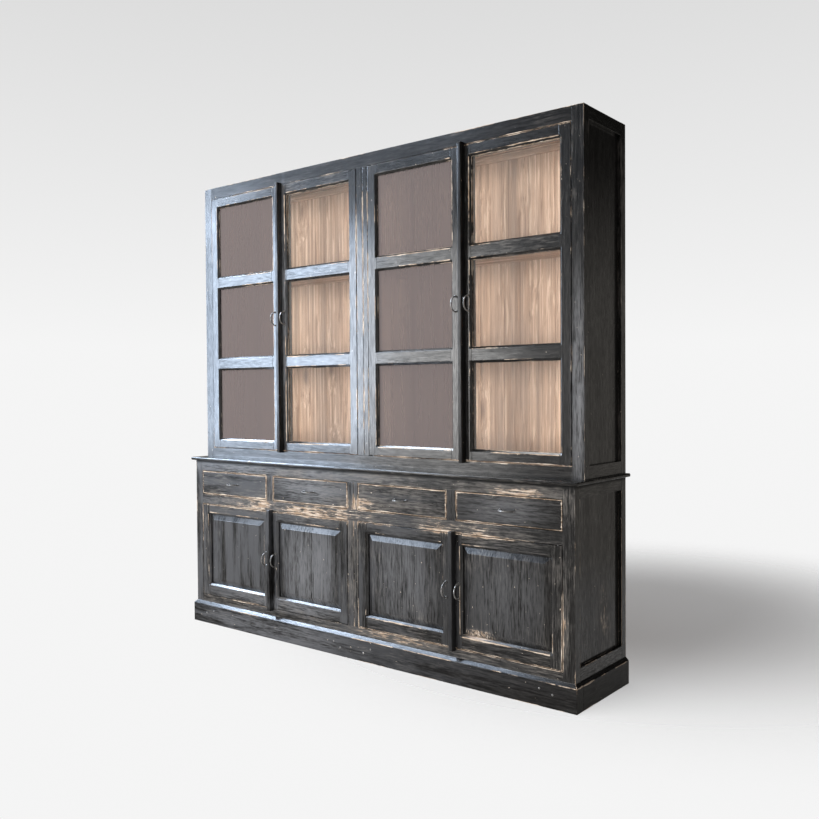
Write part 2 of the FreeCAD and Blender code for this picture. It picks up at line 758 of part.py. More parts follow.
for name, span, hung in upper_doors:
    door(name, span, hung, upper_door_rise, front, "upper_door_thick", rails, "panes")
front = f"({lower_face} - proud)"
rails = panel_rails(lower_door_rise)
for name, span, hung in lower_doors:
    door(name, span, hung, lower_door_rise, front, "lower_door_thick", rails, "panel")
for number, span in enumerate(spans, start=1):
    drawer(f"drawer_{number}", span)

# Check and export
doc.recompute()
for thing in doc.Objects:
    if "Invalid" in thing.State or "Error" in thing.State:
        raise RuntimeError(f"{thing.Label} failed: {thing.State}")
for thing in nodes:
    if thing.Shape.isNull() or not thing.Shape.isValid():
        raise RuntimeError(f"{thing.Label} has no valid shape")
os.makedirs("parts", exist_ok=True)
for thing in nodes:
    thing.Shape.exportStep(f"parts/{thing.Label}.step")
print(len(nodes), "sub-parts,", sum(len(thing.Shape.Solids) for thing in nodes), "solids")
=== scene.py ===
import json
import math
import random

import bmesh
import bpy
from mathutils import Matrix, Vector

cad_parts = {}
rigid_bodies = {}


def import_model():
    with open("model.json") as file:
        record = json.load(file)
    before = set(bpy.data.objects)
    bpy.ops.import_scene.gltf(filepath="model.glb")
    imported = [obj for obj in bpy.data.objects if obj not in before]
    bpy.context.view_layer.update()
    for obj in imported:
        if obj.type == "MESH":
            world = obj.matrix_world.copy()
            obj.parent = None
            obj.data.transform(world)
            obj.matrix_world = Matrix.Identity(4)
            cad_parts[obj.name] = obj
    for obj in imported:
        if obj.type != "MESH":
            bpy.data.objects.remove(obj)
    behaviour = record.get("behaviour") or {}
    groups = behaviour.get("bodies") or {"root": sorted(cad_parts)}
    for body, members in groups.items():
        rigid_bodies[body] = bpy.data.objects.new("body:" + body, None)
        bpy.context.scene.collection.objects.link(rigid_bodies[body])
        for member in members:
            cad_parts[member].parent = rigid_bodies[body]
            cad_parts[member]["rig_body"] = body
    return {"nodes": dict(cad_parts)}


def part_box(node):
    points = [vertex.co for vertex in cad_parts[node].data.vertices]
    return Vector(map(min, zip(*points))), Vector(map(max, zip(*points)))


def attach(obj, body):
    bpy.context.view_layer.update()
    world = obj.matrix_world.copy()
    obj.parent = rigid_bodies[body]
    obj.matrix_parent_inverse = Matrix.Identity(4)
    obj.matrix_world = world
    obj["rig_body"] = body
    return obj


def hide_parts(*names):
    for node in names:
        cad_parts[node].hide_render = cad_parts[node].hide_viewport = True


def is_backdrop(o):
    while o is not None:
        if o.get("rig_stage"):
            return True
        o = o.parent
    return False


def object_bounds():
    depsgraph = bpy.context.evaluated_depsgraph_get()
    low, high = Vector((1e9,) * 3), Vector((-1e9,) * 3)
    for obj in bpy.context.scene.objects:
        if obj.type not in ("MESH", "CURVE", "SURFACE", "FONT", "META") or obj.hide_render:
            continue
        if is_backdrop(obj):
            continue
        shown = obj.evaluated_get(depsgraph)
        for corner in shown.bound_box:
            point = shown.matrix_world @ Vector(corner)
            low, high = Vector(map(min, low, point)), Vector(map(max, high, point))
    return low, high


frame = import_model()
cad_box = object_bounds()

# Lengths are in metres. The frame's origin is on the floor under the cabinet, its front looks to -Y.
X, Y, Z = range(3)
WEAR_REACH = 0.014
NEAR_EDGE = 0.013
SOFT_ARRIS = 0.0013
PANE_ARRIS = 0.0005
SHORTEST_CUT = 0.006
SMALLEST_FACE = 0.008 ** 2
BORE_LIMIT = 0.012
TOUCH = 0.0004
ARRIS_ANGLE = math.radians(20)
FLAT_ANGLE = math.radians(0.5)
FOLD_ANGLE = math.radians(150)
BOARD_SHIFT = 20.0
RUB_SPREAD = 0.15
SOFT_SHARES = (1.0, 0.5, 0.25)
INSET_SHARE = 0.4
DRAW_BACK_SHARES = (0.4, 0.15, 0.05, 0.01)
# Cosines of the angles between faces, or between a face and an axis.
SQUARE, SAME_WAY, ACROSS, OPPOSED = 0.999, 0.9, 0.05, -0.5

# Camera fitted to the corners of the cabinet in the photograph.
PHOTO_WIDTH = 819
FOCAL_PIXELS = 876.86
SENSOR = 36.0
CAMERA_PLACE = (2.5676, -3.0042, 1.1646)
CAMERA_YAW = 38.636
CAMERA_PITCH = 1.230
CAMERA_ROLL = -0.378


# Node trees
class Wire:
    """A socket in a node tree. Sums and products of wires add Math nodes to that tree."""

    def __init__(self, tree, socket):
        self.tree = tree
        self.socket = socket

    def math(self, operation, first, second):
        return self.tree.node("ShaderNodeMath", {"operation": operation}, {0: first, 1: second})

    def __add__(self, other):
        return self.math("ADD", self, other)

    def __radd__(self, other):
        return self.math("ADD", other, self)

    def __sub__(self, other):
        return self.math("SUBTRACT", self, other)

    def __rsub__(self, other):
        return self.math("SUBTRACT", other, self)

    def __mul__(self, other):
        return self.math("MULTIPLY", self, other)


class Tree:
    """A node tree and the one way in which nodes are added to it."""

    def __init__(self, tree):
        self.tree = tree

    def node(self, kind, settings=None, sockets=None, output=0):
        made = self.tree.nodes.new(kind)
        for word, value in (settings or {}).items():
            setattr(made, word, value)
        for socket, value in (sockets or {}).items():
            self.feed(made.inputs[socket], value)
        return Wire(self, made.outputs[output] if made.outputs else None)

    def feed(self, socket, value):
        for each in value if isinstance(value, list) else [value]:
            if isinstance(each, Wire):
                self.tree.links.new(each.socket, socket)
            else:
                socket.default_value = each

    def vector(self, x, y, z):
        return self.node("ShaderNodeCombineXYZ", None, {X: x, Y: y, Z: z})


class Finish(Tree):
    """A material with one Principled shader, and the patterns that finishes share."""

    def __init__(self, name):
        self.material = bpy.data.materials.new(name)
        self.material.use_nodes = True
        super().__init__(self.material.node_tree)
        self.shader = self.tree.nodes["Principled BSDF"]

    def set(self, **values):
        for word, value in values.items():
            self.feed(self.shader.inputs[word.replace("_", " ")], value)

    def attribute(self, name, output="Vector"):
        return self.node("ShaderNodeAttribute", {"attribute_name": name}, output=output)

    def place(self):
        return self.node("ShaderNodeTexCoord", output="Object")

    def parts(self, vector):
        return [self.node("ShaderNodeSeparateXYZ", None, {0: vector}, output=axis) for axis in (X, Y, Z)]

    def vectors(self, operation, first, second):
        return self.node("ShaderNodeVectorMath", {"operation": operation}, {0: first, 1: second})

    def length(self, vector):
        return self.node("ShaderNodeVectorMath", {"operation": "LENGTH"}, {0: vector}, output="Value")

    def noise(self, vector, amounts, detail=3.0, rough=0.55, warp=0.0):
        sockets = {"Vector": self.vectors("MULTIPLY", vector, amounts), "Scale": 1.0, "Detail": detail}
        sockets.update({"Roughness": rough, "Distortion": warp})
        return self.node("ShaderNodeTexNoise", {"noise_dimensions": "3D"}, sockets)

    def cells(self, vector, amounts):
        sockets = {"Vector": self.vectors("MULTIPLY", vector, amounts), "Scale": 1.0}
        return self.node("ShaderNodeTexVoronoi", {"voronoi_dimensions": "3D"}, sockets)

    def band(self, value, low, high):
        """0 at low and 1 at high, with a smooth step between; low may be the larger."""
        sockets = {"Value": value, "From Min": low, "From Max": high}
        return self.node("ShaderNodeMapRange", {"interpolation_type": "SMOOTHSTEP"}, sockets)

    def blend(self, share, first, second):
        settings = {"data_type": "RGBA", "clamp_factor": True}
        return self.node("ShaderNodeMix", settings, {0: share, 6: first, 7: second}, output=2)

    def bump(self, height, strength, distance):
        sockets = {"Height": height, "Strength": strength, "Distance": distance}
        return self.node("ShaderNodeBump", None, sockets)


# Finishes
JET = (0.0040, 0.0038, 0.0037, 1)
SOOT = (0.017, 0.0163, 0.016, 1)
# PAINTED_SHEEN is the bluish grey of a painted sheen; FILM_AND_SHEEN_GREY is a grey film on the lacquer that
# also serves as painted sheen.
PAINTED_SHEEN = (0.080, 0.084, 0.094, 1)
FILM_AND_SHEEN_GREY = (0.125, 0.129, 0.140, 1)
RUBBED_DARK = (0.052, 0.049, 0.047, 1)
RUBBED_PALE = (0.125, 0.115, 0.106, 1)
HONEY = (0.285, 0.200, 0.135, 1)
CREAM = (0.630, 0.545, 0.460, 1)
FIGURE_DARK = (0.40, 0.262, 0.180, 1)
FIGURE_PALE = (0.60, 0.408, 0.286, 1)
BOARD_TINT = (0.55, 0.385, 0.275, 1)
RING_DARK = (0.265, 0.165, 0.110, 1)
RING_PALE = (0.80, 0.595, 0.440, 1)
FIBRE = (0.29, 0.19, 0.130, 1)
KNOT = (0.17, 0.100, 0.066, 1)
IRON_DARK = (0.17, 0.167, 0.163, 1)
IRON_BRIGHT = (0.58, 0.565, 0.55, 1)

# Where the lacquer's painted shade under the counter and its shine change, from the pieces that end there;
# each pair is a fade.
PLINTH_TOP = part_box("plinth_boards")[1].z
COUNTER_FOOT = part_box("counter_board")[0].z
DOOR_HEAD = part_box("upper_door_1_frame")[1].z
DOOR_END = -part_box("upper_door_1_frame")[0].x
PLINTH_SHINE = (PLINTH_TOP - 0.020, PLINTH_TOP - 0.010)
PAINTED_SHADE_LOW = (COUNTER_FOOT - 0.018, COUNTER_FOOT - 0.005)
PAINTED_SHADE_HIGH = (COUNTER_FOOT + 0.0015, COUNTER_FOOT + 0.0005)
HEADER_FOOT = (DOOR_HEAD - 0.002, DOOR_HEAD + 0.005)
HEADER_ENDS = ((DOOR_END + 0.0037) ** 2, (DOOR_END + 0.0007) ** 2)

# Places where hands, feet and brooms have worn the front: middle, reach along X, Y and Z, and strength.
SCUFFS = [
    ((0.66, -0.18, 0.205), (0.16, 0.05, 0.040), 1.9),
    ((1.035, -0.19, 0.30), (0.030, 0.05, 0.22), 1.4),
    ((1.06, 0.06, 0.33), (0.05, 0.11, 0.26), 1.5),
    ((0.62, -0.19, 0.615), (0.46, 0.04, 0.055), 1.5),
    ((-0.10, -0.19, 0.622), (0.45, 0.04, 0.060), 1.6),
    ((-0.60, -0.19, 0.622), (0.55, 0.04, 0.055), 1.5),
    ((0.10, -0.19, 0.680), (0.35, 0.04, 0.045), 1.4),
    ((0.86, -0.19, 0.785), (0.26, 0.04, 0.030), 1.4),
    ((0.25, -0.19, 0.125), (0.45, 0.04, 0.025), 1.2),
]

# Places where the lacquer is painted grey, written in the same way: partly a grey film on the old lacquer
# and partly a painted sheen, strongest on the left, that stands for the window light reflected there.
GREY_FILM_AND_SHEEN = [
    ((1.05, -0.12, 1.15), (0.040, 0.05, 0.60), 1.0),
    ((-0.495, -0.12, 1.50), (0.025, 0.03, 0.90), 1.0),
    ((-0.50, -0.19, 0.793), (1.00, 0.04, 0.050), 1.0),
    ((-0.60, -0.19, 0.625), (0.60, 0.04, 0.050), 1.0),
    ((-0.27, -0.19, 0.710), (0.34, 0.04, 0.090), 1.0),
    ((-0.27, -0.18, 0.360), (0.26, 0.05, 0.32), 0.9),
    ((0.27, -0.18, 0.380), (0.26, 0.05, 0.32), 0.55),
    ((0.78, -0.18, 0.380), (0.26, 0.05, 0.32), 0.35),
    ((0.78, -0.19, 0.710), (0.26, 0.04, 0.090), 0.5),
    ((-0.50, -0.20, 0.050), (0.70, 0.05, 0.080), 0.65),
    ((-0.50, -0.19, 0.167), (0.60, 0.04, 0.050), 0.8),
]


def within(finish, place, spots):
    """How deep a place lies in one of these spots."""
    total = 0.0
    for middle, reach, strength in spots:
        away = finish.vectors("SUBTRACT", place, middle)
        away = finish.length(finish.vectors("DIVIDE", away, reach))
        total = finish.band(away, 1.0, 0.2) * strength + total
    return total


def black_lacquer(name, shine):
    """Old black lacquer: streaked along the grain, rubbed to the wood in places and worn off the arrises,
    with a painted sheen towards the left and low down and a painted shade under the counter in its colour.
    """
    finish = Finish(name)
    grain = finish.attribute("grain")
    place = finish.place()
    across, _, height = finish.parts(place)
    edge = finish.attribute("edge", "Fac")
    rub, arris, chip = finish.parts(finish.attribute("wear"))
    streaks = finish.noise(grain, (8.0, 130.0, 130.0), detail=5.0, rough=0.72)
    dashes = finish.noise(grain, (26.0, 190.0, 190.0), detail=3.0, rough=0.6)
    smears = finish.noise(grain, (1.6, 17.0, 17.0), detail=3.0, rough=0.55)
    ripples = finish.noise(grain, (9.0, 34.0, 34.0), detail=2.0, rough=0.5)
    patches = finish.noise(place, (5.0, 5.0, 7.0), detail=5.0, rough=0.62)
    stretches = finish.noise(place, (3.1, 3.1, 3.1), detail=5.0, rough=0.68)
    nibbles = finish.noise(grain, (11.0, 90.0, 90.0), detail=5.0, rough=0.72)
    flecks = finish.noise(grain, (55.0, 140.0, 140.0), detail=2.0, rough=0.5)
    scuff = within(finish, place, SCUFFS)
    grey_film_and_sheen = within(finish, place, GREY_FILM_AND_SHEEN)
    near = finish.band(edge, NEAR_EDGE, 0.0)
    fine = streaks * 0.6 + dashes * 0.4

    tone = finish.blend(finish.band(fine, 0.40, 0.62), JET, SOOT)
    # Painted sheen: the colour turns bluish grey towards the left and low down, where the window light and
    # the floor would be reflected.
    painted_sheen_share = finish.band(across, 1.3, -0.9) * (0.15 + finish.band(height, 1.0, 0.6) * 0.45)
    sheen_streaks = finish.band(fine * 0.35 + smears * 0.65, 0.43, 0.57)
    tone = finish.blend(painted_sheen_share * sheen_streaks, tone, PAINTED_SHEEN)
    # Grey film on the lacquer, partly a painted sheen on the left.
    tone = finish.blend(grey_film_and_sheen * finish.band(fine * 0.8 + smears * 0.2, 0.36, 0.58) * 0.85, tone, FILM_AND_SHEEN_GREY)
    rubbing = fine * 0.55 + patches * 0.45 + (rub - 0.5) * 0.30 + near * 0.03 + scuff * 0.10
    thin = finish.band(rubbing, 0.47, 0.66)
    rubbed = finish.blend(finish.band(fine, 0.40, 0.60), RUBBED_DARK, RUBBED_PALE)
    tone = finish.blend(thin * 0.75, tone, rubbed)
    scraping = fine * 0.6 + patches * 0.4 + (rub - 0.5) * 0.10 + near * 0.05 + scuff * 0.11
    bare = finish.band(scraping, 0.655, 0.71)
    wood = finish.blend(finish.band(nibbles, 0.42, 0.66), HONEY, CREAM)
    tone = finish.blend(bare * 0.85, tone, wood)
    stretch = finish.band(stretches + (arris - 1.0) * 0.3 + scuff * 0.1, 0.475, 0.60)
    reach = stretch * (nibbles * 0.012 - 0.0042)
    worn = finish.band(reach - edge, 0.0, 0.0006)
    tone = finish.blend(worn * 0.9, tone, wood)
    chipped = finish.band(flecks + chip * 0.05, 0.775, 0.81)
    tone = finish.blend(chipped * 0.8, tone, CREAM)
    pitted = finish.band(finish.noise(place, (75.0, 75.0, 75.0), detail=1.0), 0.26, 0.22)
    tone = finish.blend(pitted * rub, tone, JET)
    # Painted shade: a dark band on the rail just under the counter's overhang, which also dulls the gloss
    # there.
    painted_shade_under_counter = finish.band(height, *PAINTED_SHADE_LOW) * finish.band(height, *PAINTED_SHADE_HIGH)
    tone = finish.blend(painted_shade_under_counter * 0.9, tone, JET)

    header = finish.band(height, *HEADER_FOOT) * finish.band(across * across, *HEADER_ENDS)
    dull = (finish.band(height, *PLINTH_SHINE) * 0.65 + 0.35) * (1.0 - header * 0.6) * shine
    polish = 0.72 + (dashes - 0.5) * 1.3 + (streaks - 0.5) * 0.9 + (smears - 0.5) * 0.5
    gloss = polish * dull * (1.0 - thin * 0.35) * (1.0 - worn * 0.8) * (1.0 - painted_shade_under_counter * 0.8)
    matt = 0.34 + streaks * 0.20 + thin * 0.12 + worn * 0.25
    relief = streaks * 0.8 + dashes * 0.8 + ripples * 0.3 - chipped * 0.5 - worn * 0.4 - pitted * rub
    finish.set(Base_Color=tone, Roughness=matt, Coat_Weight=gloss, Normal=finish.bump(relief, 0.5, 0.0009))
    finish.set(Specular_IOR_Level=0.08, Coat_Roughness=0.15, Coat_IOR=1.75)
    return finish.material


def bare_wood():
    """Unpainted inner boards: pale warm wood with long figure and a few knots."""
    finish = Finish("bare_wood")
    grain = finish.attribute("grain")
    tint = finish.parts(finish.attribute("wear"))[0]
    sway = finish.noise(grain, (1.5, 9.0, 9.0), detail=2.0)
    around = finish.cells(grain, (2.2, 6.0, 6.0))
    knot = finish.band(around, 0.15, 0.04)
    bend = finish.band(around, 0.42, 0.05)
    _, across, deep = finish.parts(grain)
    swayed = finish.vector(sway * 6.0 + bend * 3.0, across * 75.0, deep * 75.0)
    rings = finish.noise(swayed, (1.0, 1.0, 1.0), detail=3.0, rough=0.6)
    figure = finish.noise(grain, (1.3, 30.0, 30.0), detail=3.0, rough=0.55, warp=1.0)
    fibres = finish.noise(grain, (10.0, 210.0, 210.0), detail=3.0, rough=0.65)
    tone = finish.blend(finish.band(figure, 0.32, 0.70), FIGURE_DARK, FIGURE_PALE)
    tone = finish.blend(finish.band(tint, 0.0, 1.0) * 0.35, tone, BOARD_TINT)
    tone = finish.blend(finish.band(rings, 0.52, 0.66) * 0.75, tone, RING_DARK)
    tone = finish.blend(finish.band(rings, 0.46, 0.36) * 0.75, tone, RING_PALE)
    tone = finish.blend(finish.band(fibres, 0.52, 0.70) * 0.45, tone, FIBRE)
    tone = finish.blend(knot * 0.75, tone, KNOT)
    relief = figure * 0.5 + fibres * 0.5
    finish.set(Base_Color=tone, Roughness=0.62 + fibres * 0.2, Normal=finish.bump(relief, 0.2, 0.0008))
    return finish.material


def pane_glass(name, tint, haze):
    """Window glass with a film of dust and a painted reflection in its colour; the haze says how much of
    what is behind it is veiled.
    """
    finish = Finish(name)
    place = finish.place()
    smear = finish.noise(place, (3.0, 3.0, 2.2), detail=3.0)
    runs = finish.noise(place, (60.0, 60.0, 1.5), detail=3.0)
    finish.set(Base_Color=tint, Roughness=0.2, Alpha=haze + (smear - 0.5) * 0.08 + (runs - 0.5) * 0.10)
    finish.set(Specular_IOR_Level=0.0)
    return finish.material


def forged_iron():
    """Dark iron, rubbed bright here and there by hands."""
    finish = Finish("forged_iron")
    place = finish.place()
    rubbed = finish.band(finish.noise(place, (90.0, 90.0, 90.0), detail=3.0), 0.46, 0.70)
    tone = finish.blend(rubbed, IRON_DARK, IRON_BRIGHT)
    finish.set(Base_Color=tone, Metallic=0.5 + rubbed * 0.2, Roughness=0.40 - rubbed * 0.14)
    return finish.material


LACQUER = black_lacquer("black_lacquer", shine=1.0)
HANDLED_LACQUER = black_lacquer("handled_lacquer", shine=0.4)
WOOD = bare_wood()
CLEAR_GLASS = pane_glass("clear_glass", tint=(0.52, 0.53, 0.52, 1), haze=0.05)
# The hazy panes' grey-brown tint stands for a film of dust and for a painted reflection on the glass.
HAZY_GLASS = pane_glass("hazy_glass", tint=(0.120, 0.103, 0.103, 1), haze=0.76)
IRON = forged_iron()


# Timbers: every CAD solid with softened arrises and the marks that the finishes read.
def shells(name):
    """Triangles of each closed shell of a CAD node; each shell is one timber."""
    mesh = frame["nodes"][name].data
    spots = {}
    corners = [spots.setdefault(tuple(round(x, 6) for x in v.co), len(spots)) for v in mesh.vertices]
    points = list(spots)
    shell, unmatched = [], set()
    for face in mesh.polygons:
        ring = [corners[v] for v in face.vertices]
        for edge in zip(ring, ring[1:] + ring[:1]):
            if edge[::-1] in unmatched:
                unmatched.remove(edge[::-1])
            else:
                unmatched.add(edge)
        shell.append([points[corner] for corner in ring])
        if not unmatched:
            yield shell
            shell = []


def flat_faced(shell):
    """One timber as a bmesh of whole flat faces."""
    bm = bmesh.new()
    spots = {}
    for triangle in shell:
        for point in triangle:
            if point not in spots:
                spots[point] = bm.verts.new(point)
        bm.faces.new([spots[point] for point in triangle])
    bm.normal_update()
    close_bores(bm)
    bmesh.ops.dissolve_limit(bm, angle_limit=FLAT_ANGLE, verts=bm.verts, edges=bm.edges)
    bm.normal_update()
    return bm


def close_bores(bm):
    """Closes the small holes from the front that the pulls sit in; the pulls cover them."""
    gone = set()
    for group in faces_between_arrises(bm):
        spots = {vert for face in group for vert in face.verts}
        low, high = extent([vert.co for vert in spots])
        runs_in = max(abs(face.normal.y) for face in group) < ACROSS
        round_about = min(face.normal.dot(group[0].normal) for face in group) < OPPOSED
        if max(high[X] - low[X], high[Z] - low[Z]) < BORE_LIMIT and runs_in and round_about:
            gone.update(face for vert in spots for face in vert.link_faces if set(face.verts) <= spots)
    if gone:
        bmesh.ops.delete(bm, geom=list(gone), context="FACES")
        bmesh.ops.holes_fill(bm, edges=[edge for edge in bm.edges if edge.is_boundary], sides=0)
        bm.normal_update()


def extent(spots):
    return [[pick(spot[axis] for spot in spots) for axis in (X, Y, Z)] for pick in (min, max)]


def is_arris(edge):
    return edge.is_manifold and edge.calc_face_angle() > ARRIS_ANGLE


def faces_between_arrises(bm, skipped=()):
    """Groups of faces that run on smoothly into each other, each bounded by arrises."""
    left = set(bm.faces).difference(skipped)
    groups = []
    while left:
        group, queue = [], [left.pop()]
        while queue:
            face = queue.pop()
            group.append(face)
            for edge in face.edges:
                if is_arris(edge):
                    continue
                for other in edge.link_faces:
                    if other in left:
                        left.remove(other)
                        queue.append(other)
        groups.append(group)
    return groups


def cut_at_joints(bm, boxes):
    """Cuts a timber's faces where another timber of the same body meets it."""
    low, high = extent([vert.co for vert in bm.verts])
    along = max((X, Y, Z), key=lambda axis: high[axis] - low[axis])
    direction = [int(axis == along) for axis in (X, Y, Z)]
    places = []
    for near, far in boxes:
        if all(near[axis] <= high[axis] + TOUCH and far[axis] >= low[axis] - TOUCH for axis in (X, Y, Z)):
            places.extend((near[along], far[along]))
    last = low[along]
    for spot in sorted(places):
        if last + SHORTEST_CUT < spot < high[along] - SHORTEST_CUT:
            last = spot
            bmesh.ops.bisect_plane(
                bm, geom=list(bm.faces) + list(bm.edges) + list(bm.verts), plane_no=direction,
                plane_co=[spot * part for part in direction], dist=TOUCH,
            )
    bm.normal_update()


def folded(bm):
    """Whether two neighbouring faces lie nearly on top of each other."""
    return any(edge.is_manifold and edge.calc_face_angle() > FOLD_ANGLE for edge in bm.edges)


def softened(bm, width):
    """The timber with every arris rounded, as far as there is room, and the narrow faces that this makes."""
    for part in SOFT_SHARES:
        trial = bm.copy()
        arrises = [edge for edge in trial.edges if is_arris(edge)]
        made = bmesh.ops.bevel(
            trial, geom=arrises, offset=width * part, segments=2, profile=0.5, affect="EDGES",
            clamp_overlap=True,
        )
        trial.normal_update()
        if not folded(trial):
            bm.free()
            return trial, made["faces"]
        trial.free()
    return bm, []


def in_joint(spot, boxes):
    """Whether a place lies against a second timber of the same body; no hand ever wears it there."""
    near = SOFT_ARRIS + TOUCH
    touching = 0
    for low, high in boxes:
        touching += all(low[axis] - near <= spot[axis] <= high[axis] + near for axis in (X, Y, Z))
    return touching > 1


def mark_rounds(bm):
    """Marks the roundings of a timber that was made with rounded arrises."""
    mark = bm.loops.layers.float.new("edge")
    for face in bm.faces:
        face.smooth = True
        square = max(abs(part) for part in face.normal) > SQUARE
        for loop in face.loops:
            loop[mark] = WEAR_REACH if square else 0


def mark_edges(bm, rounded, boxes):
    """Draws a line inside every arris, so that each point can tell its distance from the nearest one."""
    mark = bm.loops.layers.float.new("edge")
    for face in bm.faces:
        for loop in face.loops:
            loop[mark] = WEAR_REACH
    for face in rounded:
        if not in_joint(face.calc_center_median(), boxes):
            for loop in face.loops:
                loop[mark] = 0
    for group in faces_between_arrises(bm, rounded):
        inside = set(group)
        area = sum(face.calc_area() for face in group)
        outline = {e for f in group for e in f.edges if any(o not in inside for o in e.link_faces)}
        rim = sum(edge.calc_length() for edge in outline)
        if not outline or area < SMALLEST_FACE:
            continue
        reach = min(WEAR_REACH, INSET_SHARE * 2 * area / rim)
        facing = group[0].normal.copy()
        curved = min(face.normal.dot(facing) for face in group) < SQUARE
        made = bmesh.ops.inset_region(
            bm, faces=group, thickness=reach, use_even_offset=True, use_boundary=True,
        )
        ring = made["faces"]
        for face in group:
            face.smooth = curved
        if not curved:
            draw_back(group, ring, facing)
        inside.update(ring)
        for face in ring:
            rims = [e for e in face.edges if any(other not in inside for other in e.link_faces)]
            rims = [e for e in rims if not in_joint((e.verts[0].co + e.verts[1].co) / 2, boxes)]
            worn = {vert for edge in rims for vert in edge.verts}
            for loop in face.loops:
                loop[mark] = 0 if loop.vert in worn else reach


def draw_back(group, ring, facing):
    """Where the inner line has turned a whole face over, moves it back towards the arris.

    It misses a line that crosses itself without that, so some narrow and stepped faces stay folded.
    """
    inner = {vert for face in group for vert in face.verts}
    moves = []
    for vert in inner:
        for edge in vert.link_edges:
            other = edge.other_vert(vert)
            if other not in inner:
                moves.append((vert, other.co.copy(), vert.co - other.co))
                break
    for part in DRAW_BACK_SHARES:
        for face in ring + group:
            face.normal_update()
        if all(face.normal.dot(facing) > SAME_WAY for face in ring + group):
            return
        for vert, start, way in moves:
            vert.co = start + way * part


def grain_of(spots, along, dice):
    """Each place in its own board: along the grain, then across it twice."""
    low, high = extent(spots)
    if along is None:
        along = max((X, Y, Z), key=lambda axis: high[axis] - low[axis])
    across = [axis for axis in (X, Y, Z) if axis != along]
    shift = Vector([dice.uniform(0, BOARD_SHIFT) for _ in range(3)])
    return [Vector((spot[along], spot[across[0]], spot[across[1]])) + shift for spot in spots]


def dressed(name, materials, wear, along=None, soft=SOFT_ARRIS, inside=None):
    """The visible piece for a CAD node. inside picks faces that take the second material."""
    dice = random.Random(name)
    boxes = TIMBER_BOXES[frame["nodes"][name]["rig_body"]] if name.endswith(FRAMING) else []
    whole = bmesh.new()
    for shell in shells(name):
        bm = flat_faced(shell)
        if soft:
            cut_at_joints(bm, boxes)
            bm, rounded = softened(bm, soft)
            mark_edges(bm, rounded, boxes)
        else:
            mark_rounds(bm)
        grain = bm.verts.layers.float_vector.new("grain")
        worn = bm.verts.layers.float_vector.new("wear")
        rub, arris, chip = wear
        amounts = Vector((rub + dice.uniform(-RUB_SPREAD, RUB_SPREAD), arris, chip))
        for vert, spot in zip(bm.verts, grain_of([vert.co for vert in bm.verts], along, dice)):
            vert[grain] = spot
            vert[worn] = amounts
        bm.normal_update()
        for edge in bm.edges:
            edge.smooth = not is_arris(edge)
        if inside:
            for face in bm.faces:
                face.material_index = int(inside(face))
        timber = bpy.data.meshes.new("timber")
        bm.to_mesh(timber)
        bm.free()
        whole.from_mesh(timber)
        bpy.data.meshes.remove(timber)
    mesh = bpy.data.meshes.new(f"{name}_worn")
    whole.to_mesh(mesh)
    whole.free()
    for material in materials:
        mesh.materials.append(material)
    return standing_for(mesh, name)


def standing_for(mesh, name):
    """A piece that stands for a CAD node and rides on its body."""
    piece = bpy.data.objects.new(mesh.name, mesh)
    bpy.context.scene.collection.objects.link(piece)
    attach(piece, frame["nodes"][name]["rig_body"])
    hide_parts(name)
    return piece


FRAMING = ("_frame", "_posts", "_rails", "_boards", "_board", "_batten", "_front", "_panel")


def timber_boxes():
    """The extents of every timber that is flush with its neighbours, by body."""
    boxes = {}
    for name, node in frame["nodes"].items():
        if name.endswith(FRAMING):
            found = boxes.setdefault(node["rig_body"], [])
            for shell in shells(name):
                found.append(extent([point for triangle in shell for point in triangle]))
    return boxes


def faces_in(face):
    """Whether a side panel's face looks into the cabinet."""
    return face.calc_center_median().x * face.normal.x < 0 and abs(face.normal.x) > SAME_WAY


TIMBER_BOXES = timber_boxes()

# Wear on each kind of piece: rubbed faces, bare arrises, chips.
UNTOUCHED, CLEAN = (0.5, 0, 0), (0, 0, 0)
dressed("plinth_boards", [LACQUER], (0.15, 0.8, 0.6))
dressed("counter_board", [LACQUER], (0.30, 0.45, 0.4), soft=0)
for tier, rub in (("lower", 0.48), ("upper", 0.15)):
    dressed(f"{tier}_posts", [LACQUER], (0.45, 1.0, 0.5))
    dressed(f"{tier}_front_frame", [LACQUER], (rub, 1.05, 0.6))
    dressed(f"{tier}_side_rails", [LACQUER], (rub * 0.6, 0.6, 0.2))
    side = dressed(f"{tier}_side_panels", [LACQUER, WOOD], (rub * 0.7, 0.3, 0.2), Z, inside=faces_in)
    dressed(f"{tier}_back_frame", [WOOD], UNTOUCHED)
    dressed(f"{tier}_back_planks", [WOOD], UNTOUCHED, Z)
for name in ("lower_boards", "drawer_runners", "upper_boards", "upper_bearers"):
    dressed(name, [WOOD], UNTOUCHED)

for number in range(1, 5):
    upper, lower, drawer = f"upper_door_{number}", f"lower_door_{number}", f"drawer_{number}"
    dressed(f"{upper}_frame", [LACQUER], (0.2, 0.95, 0.4))
    glass = HAZY_GLASS if number in (1, 3) else CLEAR_GLASS
    panes = dressed(f"{upper}_panes", [glass], CLEAN, soft=PANE_ARRIS)
    panes.visible_shadow = False
    dressed(f"{lower}_frame", [LACQUER], (0.36, 0.9, 0.5))
    dressed(f"{lower}_panel", [LACQUER], (0.28, 0.45, 0.5), Z)
    if number in (2, 4):
        for name in (upper, lower):
            dressed(f"{name}_batten", [HANDLED_LACQUER], (0.2, 0.3, 0.4), soft=0)
    dressed(f"{drawer}_front", [LACQUER], (0.48, 1.6, 0.6), X)
    dressed(f"{drawer}_box", [WOOD], UNTOUCHED)


